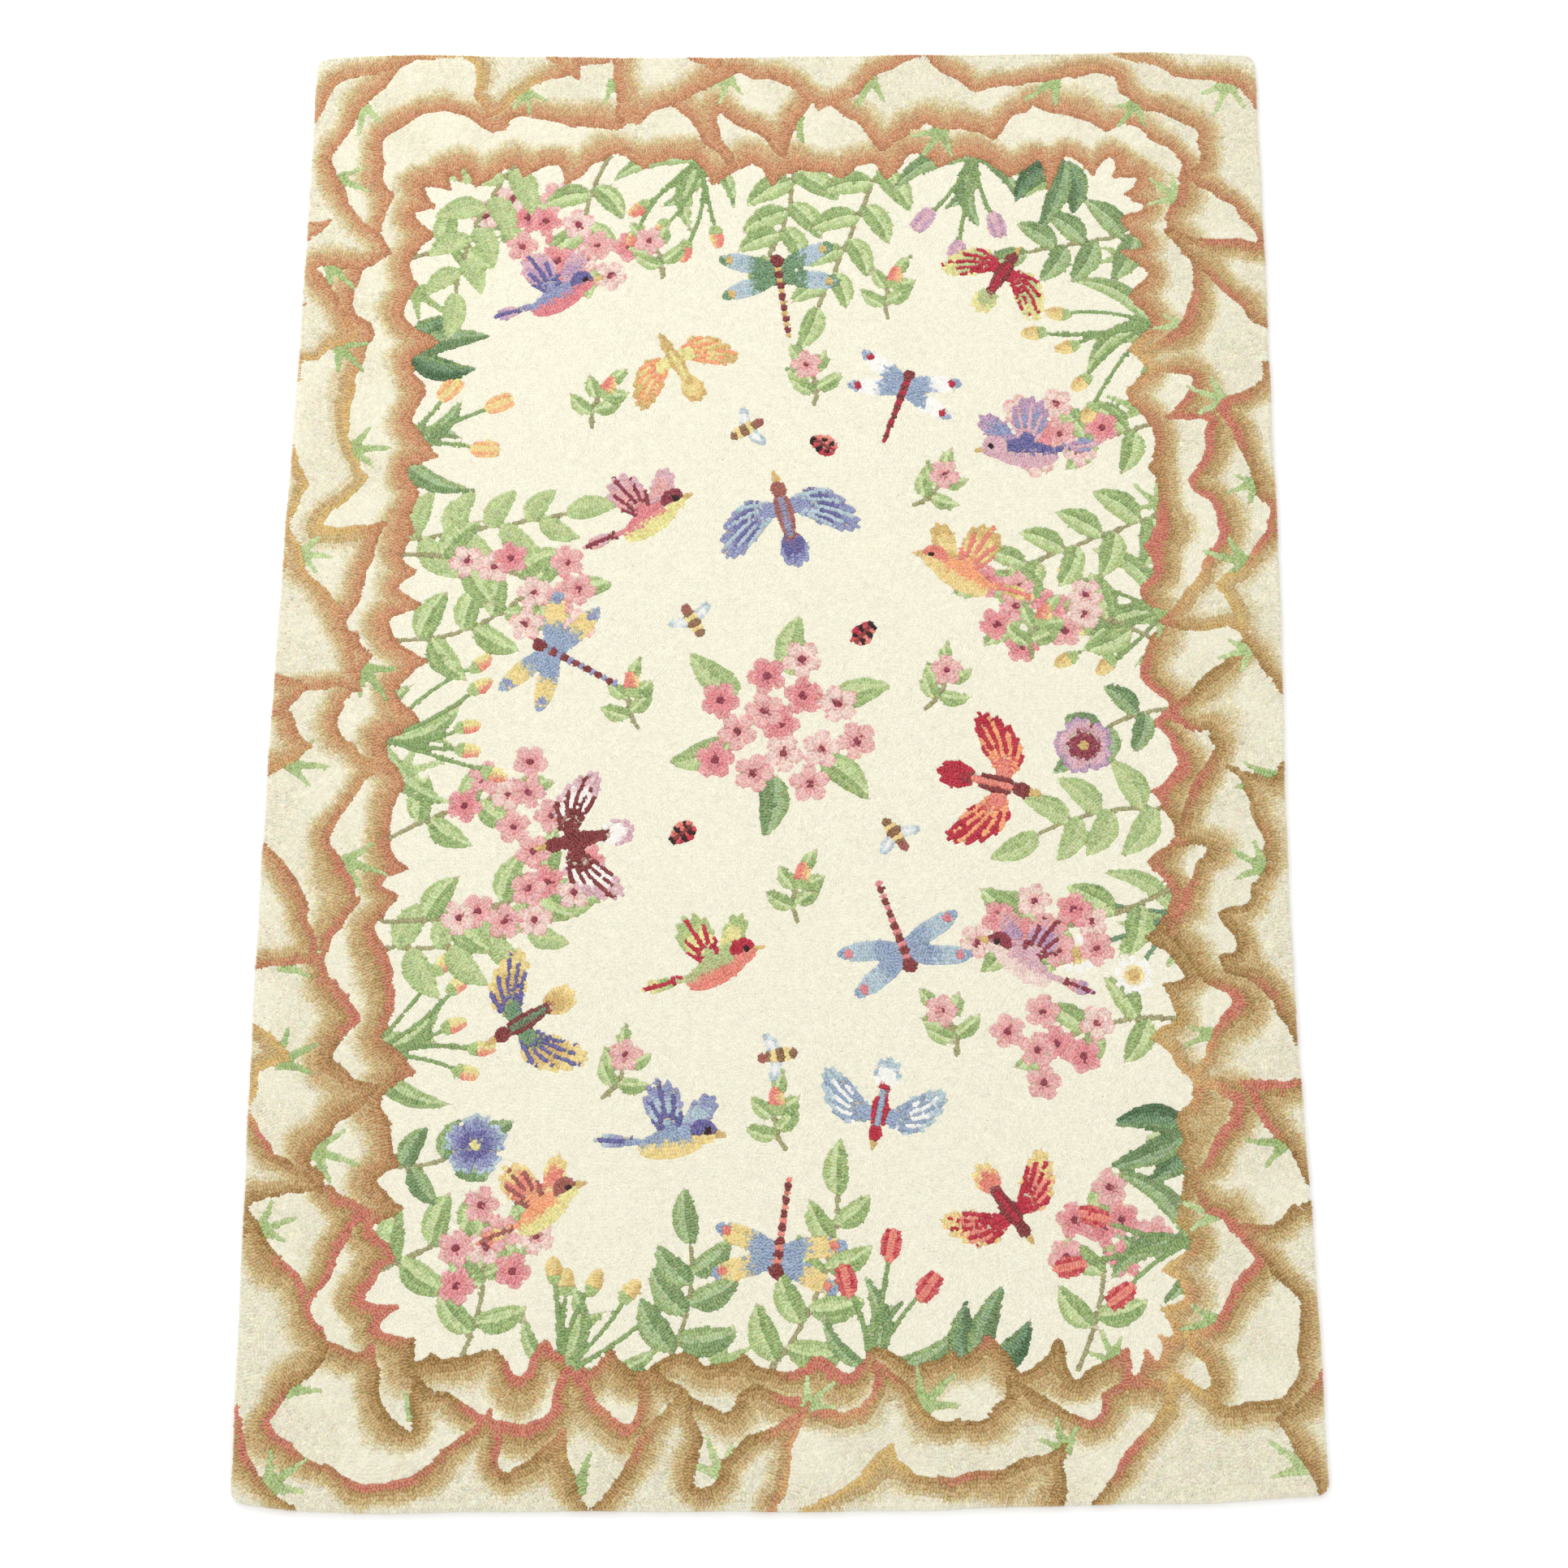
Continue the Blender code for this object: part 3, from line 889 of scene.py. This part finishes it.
def settle(points, margin):
    # neighbours push each other apart until they stand in rows and files along the row field
    along, across = pile["along"], pile["across"]
    cell = along * 1.25
    low = coarse.low - 2 * cell
    wide = int(-2 * low[0] / cell) + 3
    total = wide * (int(-2 * low[1] / cell) + 4)
    for _ in range(pile["rounds"]):
        place = ((points - low) / cell).astype(int)
        key = place[:, 1] * wide + place[:, 0]
        order = np.argsort(key, kind="stable")
        points, key = points[order], key[order]
        ca, sa = longWay(points)
        count = np.bincount(key, minlength=total)
        first = np.cumsum(count) - count
        me = np.arange(len(points))
        push = pile["pull"] * fine.nearest(edges, points)
        for shift in (b * wide + a for b in (-1, 0, 1) for a in (-1, 0, 1)):
            number, start = count[key + shift], first[key + shift]
            for k in range(int(number.max())):
                ok = np.flatnonzero((k < number) & (start + k != me))
                gap = points[ok] - points[start[ok] + k]
                c, s = ca[ok], sa[ok]
                u = (gap[:, 0] * c + gap[:, 1] * s) / along
                v = (gap[:, 1] * c - gap[:, 0] * s) / across
                u2, v2 = u * u, v * v
                far = (u2 * u2 + v2 * v2) ** 0.25 + 1e-9
                near = np.clip(pile["reach"] - far, 0, None) / far ** 3
                gu, gv = u2 * u * near * along, v2 * v * near * across
                push[ok, 0] += gu * c - gv * s
                push[ok, 1] += gu * s + gv * c
        points = keepInside(points + pile["give"] * push, margin)
    return points


def scatterLoops(margin):
    # staggered rows to start from
    rng = np.random.default_rng(pile["seed"])
    xs = np.arange(-0.63, 0.63, pile["across"] * pile["crowd"])
    ys = np.arange(-0.94, 0.94, pile["along"] * pile["crowd"])
    x, y = np.meshgrid(xs, ys)
    x = x + (np.arange(len(ys)) % 2)[:, None] * pile["across"] / 2
    points = np.stack([x.ravel(), y.ravel()], -1) + rng.normal(0, pile["start"], (x.size, 2))
    inside = np.ones(len(points), bool)
    for axis in (0, 1):
        lowSide, highSide = sideLimits(axis, points)
        inside &= (points[:, axis] > lowSide + margin) & (points[:, axis] < highSide - margin)
    return settle(points[inside], margin)


def edgeRows():
    # rows along the outline, from the side of the rug up over its rounded edge: (middle, long way, normal)
    r = pile["edgeRound"]
    found = []
    for k, (inset, height, lift) in enumerate((
        (0.0, 0.0030, 0.0), (None, None, 24.0), (None, None, 66.0), (pile["lastRow"], None, 90.0),
    )):
        up, out = math.sin(math.radians(lift)), math.cos(math.radians(lift))
        inset = r * (1 - out) if inset is None else inset
        height = pile["rimHeight"] + (pile["top"] - pile["rimHeight"]) * up if height is None else height
        line = (rim + np.roll(rim, -1, 0)) / 2 if k % 2 else rim
        middle = np.column_stack([line - inset * rimOut, np.full(len(rim), height)])
        normal = np.column_stack([rimOut * out, np.full(len(rim), up)])
        longer = np.column_stack([-rimOut * up, np.full(len(rim), out)])
        found.append((middle, longer, normal))
    return [np.vstack(part) for part in zip(*found)]


flat = scatterLoops(pile["lastRow"] + 0.75 * pile["along"])
swell = pile["top"] + pile["swell"] * noise(flat[:, 0], flat[:, 1], 0.31, 41)
c, s = longWay(flat)
level = np.zeros(len(flat))
middles = np.column_stack([flat, swell])
longers = np.column_stack([c, s, level])
normals = np.column_stack([level, level, level + 1])
edgeMiddles, edgeLongers, edgeNormals = edgeRows()
middles = np.vstack([middles, edgeMiddles])
order = np.argsort(middles[:, 1], kind="stable")
middles = middles[order]
longers = np.vstack([longers, edgeLongers])[order]
normals = np.vstack([normals, edgeNormals])[order]
print(round(time.time() - began, 1), "s:", "loops placed:", len(middles))

# every loop takes the colour of the yarn under its middle

loops = Pattern(middles[:, 0], middles[:, 1], ragged=1)
paintAll(loops)


def toLinear(colour):
    return np.where(colour <= 0.04045, colour / 12.92, ((np.maximum(colour, 0) + 0.055) / 1.055) ** 2.4)


wool = {
    "light": 0.934, "bounce": 0.23,      # how the studio light, and that between the loops, raise a colour
    "heather": 0.012,        # spread of lightness from loop to loop, in sRGB
    "tinge": 0.007,          # spread of hue
    "streak": 0.010,         # slow drift along the hanks
    "lift": 0.120,           # makes up for the painted shade at the roots
    "rootShadingPale": 0.62, "rootShadingDeep": 2.03,  # powers for the loops' roots: on the cream ground a painted brightening of the hollows, off it painted shade
}


def loopColours():
    rng = np.random.default_rng(51)
    number = len(middles)
    depth = np.clip((0.925 - loops.rgb.mean(-1)) / 0.05, 0.3, 1.35)      # the cream is the plainest yarn
    shade = loops.rgb + (wool["heather"] * depth * rng.normal(0, 1, number))[:, None]
    shade += wool["tinge"] * depth[:, None] * rng.normal(0, 1, (number, 3))
    shade += (wool["streak"] * depth * noise(loops.x, loops.y, 0.014, 52))[:, None]
    shade = toLinear(np.clip(shade, 0.02, 0.985))
    plain = np.clip((loops.rgb.mean(-1) - 0.85) / 0.04, 0, 1)[:, None]       # 1 on the cream ground
    # off the cream ground the loops are lifted to make up for the painted shade at their roots
    lift = 1 + wool["lift"] * (1 - plain)
    return np.minimum(lift * shade / (wool["light"] + wool["bounce"] * shade), 0.92), plain


colours, plain = loopColours()


def loopCorners():
    # six corners of each loop: four at its foot and two on its ridge
    rng = np.random.default_rng(pile["seed"] + 1)
    number = len(middles)
    wider = np.cross(normals, longers)
    up = normals[:, 2:]
    loose = (1 - pile["calm"] * plain) * (0.35 + 0.65 * up)      # 1 where the hooking is loosest
    halfLong = pile["along"] * pile["footLong"] * rng.normal(1, 0.04, number)[:, None]
    halfWide = pile["across"] * (pile["footWide"] - pile["footDraw"] * up)
    halfWide = halfWide * rng.normal(1, 0.05, number)[:, None]
    along = longers + loose * rng.normal(0, pile["twist"], (number, 1)) * wider
    rise = loose * rng.normal(0, pile["uneven"], (number, 1)) * normals
    tip = rng.normal(0, pile["tip"], (number, 1)) * normals
    place = middles + loose * rng.normal(0, pile["astray"], (number, 3)) * (1, 1, 0)
    foot = place - pile["depth"] * normals
    corners = []
    for a, b in ((-1, -1), (1, -1), (1, 1), (-1, 1)):
        ragged = rng.normal(1, pile["ragged"], (2, number, 1))
        corners.append(foot + a * ragged[0] * halfLong * along + b * ragged[1] * halfWide * wider)
    for a in (-1, 1):
        sway = rng.normal(0, pile["sway"], (number, 1)) * pile["across"] * wider
        corners.append(place + rise + a * tip + a * pile["crest"] * pile["along"] * along + sway)
    corners = np.stack(corners, 1)
    corners[..., 2] = np.maximum(corners[..., 2], pile["lowest"])
    return corners


corners = loopCorners()
loopFaces = np.array([(0, 1, 5), (0, 5, 4), (1, 2, 5), (2, 3, 4), (2, 4, 5), (3, 0, 4)])
# where the six corners lie in the loop's own cell of the map
cellPlaces = np.array([(0.08, 0.08), (0.92, 0.08), (0.92, 0.92), (0.08, 0.92), (0.30, 0.5), (0.70, 0.5)])


def pileTile(name, chosen, material):
    # one mesh of loops, laid out row by row so that its map looks like the rug
    side = math.ceil(math.sqrt(len(chosen)))
    chosen = chosen[np.argsort(middles[chosen, 1], kind="stable")]
    parts = [chosen[k:k + side] for k in range(0, len(chosen), side)]
    chosen = np.concatenate([part[np.argsort(middles[part, 0], kind="stable")] for part in parts])
    number = len(chosen)
    mesh = bpy.data.meshes.new(name)
    mesh.vertices.add(number * 6)
    mesh.vertices.foreach_set("co", corners[chosen].astype(np.float32).ravel())
    faces = (loopFaces[None] + 6 * np.arange(number)[:, None, None]).reshape(-1, 3)
    mesh.loops.add(faces.size)
    mesh.loops.foreach_set("vertex_index", faces.astype(np.int32).ravel())
    mesh.polygons.add(len(faces))
    mesh.polygons.foreach_set("loop_start", np.arange(0, faces.size, 3, dtype=np.int32))
    mesh.update(calc_edges=True)
    mesh.validate()
    mesh.polygons.foreach_set("use_smooth", np.ones(len(faces), bool))
    order = np.arange(number)
    cells = np.stack([order % side, order // side], -1)[:, None] + cellPlaces[None]
    mapPlaces = (cells / side).reshape(-1, 2)[faces.ravel()]
    layer = mesh.uv_layers.new(name="OFBake")
    layer.data.foreach_set("uv", mapPlaces.astype(np.float32).ravel())
    paint = mesh.color_attributes.new("yarnWithRootShade", "FLOAT_COLOR", "POINT")
    tone = np.repeat(colours[chosen][:, None], 6, 1)
    # the four corners at each loop's foot are painted: darker off the cream ground, painted shade between the
    # loops, and lighter on it, a painted brightening of the hollows
    rootShadePower = wool["rootShadingDeep"] + (wool["rootShadingPale"] - wool["rootShadingDeep"]) * plain[chosen]
    tone[:, :4] = tone[:, :4] ** rootShadePower[:, None]
    values = np.ones((number, 6, 4), np.float32)
    values[..., :3] = tone
    paint.data.foreach_set("color", values.ravel())
    strand = mesh.attributes.new("strand", "FLOAT_VECTOR", "POINT")
    spots = np.zeros((number, 6, 3), np.float32)
    spots[..., :2] = cellPlaces
    spots[..., 2] = np.random.default_rng(number).random((number, 1))
    strand.data.foreach_set("vector", spots.ravel())
    mesh.materials.append(material)
    tile = bpy.data.objects.new(name, mesh)
    bpy.context.collection.objects.link(tile)
    return tile


class Socket:
    # wraps a node's output so that shader maths reads as plain expressions
    def __init__(self, tree, socket):
        self.tree, self.socket = tree, socket

    def math(self, operation, other, swap=False):
        node = self.tree.nodes.new("ShaderNodeMath")
        node.operation = operation
        for entry, value in zip(node.inputs, (other, self) if swap else (self, other)):
            plug(self.tree, entry, value)
        return Socket(self.tree, node.outputs[0])

    def __add__(self, other): return self.math("ADD", other)
    def __radd__(self, other): return self.math("ADD", other, True)
    def __sub__(self, other): return self.math("SUBTRACT", other)
    def __rsub__(self, other): return self.math("SUBTRACT", other, True)
    def __mul__(self, other): return self.math("MULTIPLY", other)
    def __rmul__(self, other): return self.math("MULTIPLY", other, True)


def plug(tree, entry, value):
    if isinstance(value, Socket):
        tree.links.new(value.socket, entry)
    else:
        entry.default_value = value


def addNode(tree, kind, settings=None, **inputs):
    node = tree.nodes.new(kind)
    for key, value in (settings or {}).items():
        setattr(node, key, value)
    for key, value in inputs.items():
        plug(tree, node.inputs[key.replace("_", " ")], value)
    return node


def newMaterial(name):
    material = bpy.data.materials.new(name)
    material.use_nodes = True
    tree = material.node_tree
    tree.nodes.clear()
    shader = tree.nodes.new("ShaderNodeBsdfPrincipled")
    output = tree.nodes.new("ShaderNodeOutputMaterial")
    tree.links.new(shader.outputs[0], output.inputs["Surface"])
    return material, tree, shader


def speckle(tree, place, scale, detail):
    node = addNode(tree, "ShaderNodeTexNoise", Vector=place, Scale=scale, Detail=detail)
    return Socket(tree, node.outputs["Fac"])


def attribute(tree, name, output):
    return Socket(tree, addNode(tree, "ShaderNodeAttribute", {"attribute_name": name}).outputs[output])


def dress(tree, shader, colour, roughness, height, strength, distance, specular):
    plug(tree, shader.inputs["Base Color"], colour)
    plug(tree, shader.inputs["Roughness"], roughness)
    bump = addNode(tree, "ShaderNodeBump", Strength=strength, Distance=distance, Height=height)
    plug(tree, shader.inputs["Normal"], Socket(tree, bump.outputs[0]))
    shader.inputs["Specular IOR Level"].default_value = specular


def mixColours(tree, share, a, b, way="MIX"):
    node = addNode(tree, "ShaderNodeMix", {"data_type": "RGBA", "blend_type": way})
    for index, value in ((0, share), (6, a), (7, b)):
        plug(tree, node.inputs[index], value)
    return Socket(tree, node.outputs[2])


def woolMaterial():
    material, tree, shader = newMaterial("hookedWool")
    place = Socket(tree, addNode(tree, "ShaderNodeTexCoord").outputs["Object"])
    fibre = speckle(tree, place, 1500.0, 2.0)
    tuft = speckle(tree, place, 420.0, 1.0)
    # the yarn's colour, with painted shade at the loops' roots
    yarn = attribute(tree, "yarnWithRootShade", "Color")
    parts = addNode(tree, "ShaderNodeSeparateXYZ", Vector=attribute(tree, "strand", "Vector"))
    along, across, chance = (Socket(tree, parts.outputs[k]) for k in range(3))
    # two plies twisted round each other, seen as slanting cords along the loop; in the colour they are
    # painted shade in the grooves between the plies
    ply = (7.0 * across + 14.0 * along + 6.28 * chance).math("SINE", 0.0)
    fleckAndPlyShade = addNode(tree, "ShaderNodeCombineColor")
    # the colour's random flecks of fibre and tuft, and painted shade along the ply grooves
    shade = 0.87 + 0.12 * tuft + 0.12 * fibre + 0.06 * ply
    for index in range(3):
        plug(tree, fleckAndPlyShade.inputs[index], shade)
    colour = mixColours(tree, 1.0, yarn, Socket(tree, fleckAndPlyShade.outputs[0]), "MULTIPLY")
    dress(tree, shader, colour, 0.86 + 0.12 * fibre, fibre * 0.6 + ply * 0.5, 0.7, 0.0004, 0.15)
    shader.inputs["Sheen Weight"].default_value = 0.12
    shader.inputs["Sheen Roughness"].default_value = 0.6
    return material


woolFinish = woolMaterial()
tiles = []
tileLow, tileSize = (-0.62, -0.925), (0.62, 0.6167)
tileColumn, tileRow = ((middles[:, k] - tileLow[k]) / tileSize[k] for k in (0, 1))
for row, rowName in enumerate(("near", "middle", "far")):
    for column, columnName in enumerate(("left", "right")):
        inRow = np.clip(tileRow.astype(int), 0, 2) == row
        chosen = np.flatnonzero((np.clip(tileColumn.astype(int), 0, 1) == column) & inRow)
        tiles.append(pileTile(f"pile_{rowName}_{columnName}", chosen, woolFinish))
print(round(time.time() - began, 1), "s:", "pile tiles:", [len(tile.data.polygons) for tile in tiles])

# the cotton cloth under the loops, which they are hooked through

foundation = {
    "top": 0.0073,            # where the loops' feet stand in it
    "draw": 0.0016,           # how far its side stays behind the loops
    "threads": 2600.0,        # radians a metre: threads 1.2 mm apart
}


def makeFoundation():
    cloth = rugNode.copy()
    cloth.data = rugNode.data.copy()
    cloth.name = "foundation_cloth"
    bpy.context.collection.objects.link(cloth)
    cloth.data.materials.clear()
    selectOnly(cloth)
    bpy.ops.object.mode_set(mode="EDIT")
    bpy.ops.mesh.select_all(action="SELECT")
    bpy.ops.mesh.remove_doubles(threshold=0.00001)
    top = foundation["top"] - 0.0001
    bpy.ops.mesh.bisect(plane_co=(0, 0, top), plane_no=(0, 0, 1), use_fill=True, clear_outer=True)
    bpy.ops.mesh.select_all(action="SELECT")
    bpy.ops.mesh.normals_make_consistent(inside=False)
    bpy.ops.mesh.select_all(action="DESELECT")
    bpy.ops.object.mode_set(mode="OBJECT")
    width, length = (cadBox[1][k] - cadBox[0][k] for k in (0, 1))
    cloth.scale = (1 - 2 * foundation["draw"] / width, 1 - 2 * foundation["draw"] / length, 1)
    bpy.ops.object.transform_apply(location=False, rotation=False, scale=True)
    return cloth


cloth = makeFoundation()
print("foundation:", len(cloth.data.polygons), "faces")


def clothMaterial():
    material, tree, shader = newMaterial("cottonFoundation")
    place = Socket(tree, addNode(tree, "ShaderNodeTexCoord").outputs["Object"])
    slub = speckle(tree, place, 90.0, 3.0)
    parts = addNode(tree, "ShaderNodeSeparateXYZ", Vector=place)
    warp = (foundation["threads"] * Socket(tree, parts.outputs["X"]) + slub).math("SINE", 0.0)
    weft = (foundation["threads"] * Socket(tree, parts.outputs["Y"]) + slub).math("SINE", 0.0)
    # plain cloth: where the two threads cross, one goes over and the next one under
    over = 0.4 * (warp * weft)
    weaveAndGapShade = (0.6 * warp.math("ABSOLUTE", 0.0) + over).math("MAXIMUM", 0.6 * weft.math("ABSOLUTE", 0.0) - over)
    # the cloth's colour is darker in the gaps between its threads: painted shade
    colour = mixColours(tree, weaveAndGapShade * 0.7 + slub * 0.3, (0.34, 0.28, 0.19, 1), (0.66, 0.59, 0.45, 1))
    dress(tree, shader, colour, 0.85 + 0.1 * slub, weaveAndGapShade, 0.5, 0.0005, 0.2)
    return material


cloth.data.materials.append(clothMaterial())

for piece in tiles + [cloth]:
    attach(piece, "root")
    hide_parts("rug")

# a plain pale floor and soft studio light

studio = {
    "world": 1.23,
    "key": 33.0, "keyPlace": (-1.6, 2.2, 2.6), "keySize": 1.2,
    "floor": 0.86, "floorSize": 14,
}


def makeStudio():
    bpy.ops.mesh.primitive_plane_add(size=studio["floorSize"], location=(0, 0, -0.0002))
    floor = bpy.context.object
    floor.name = "studio_floor"
    material, _, shader = newMaterial("studioFloor")
    tone = studio["floor"]
    shader.inputs["Base Color"].default_value = (tone, tone, tone, 1)
    shader.inputs["Roughness"].default_value = 0.9
    shader.inputs["Specular IOR Level"].default_value = 0.0
    floor.data.materials.append(material)
    world = bpy.data.worlds.new("studioWorld")
    world.use_nodes = True
    sky = world.node_tree.nodes["Background"]
    sky.inputs["Color"].default_value = (1, 1, 1, 1)
    sky.inputs["Strength"].default_value = studio["world"]
    bpy.context.scene.world = world
    bpy.ops.object.light_add(type="AREA", location=studio["keyPlace"])
    lamp = bpy.context.object
    lamp.data.shape = "DISK"
    lamp.data.size = studio["keySize"]
    lamp.data.energy = studio["key"]
    lamp.rotation_mode = "QUATERNION"
    lamp.rotation_quaternion = (Vector((0, 0, 0)) - lamp.location).to_track_quat("-Z", "Y")
    bpy.context.scene.view_settings.view_transform = "Standard"


makeStudio()
print(round(time.time() - began, 1), "s: studio ready")
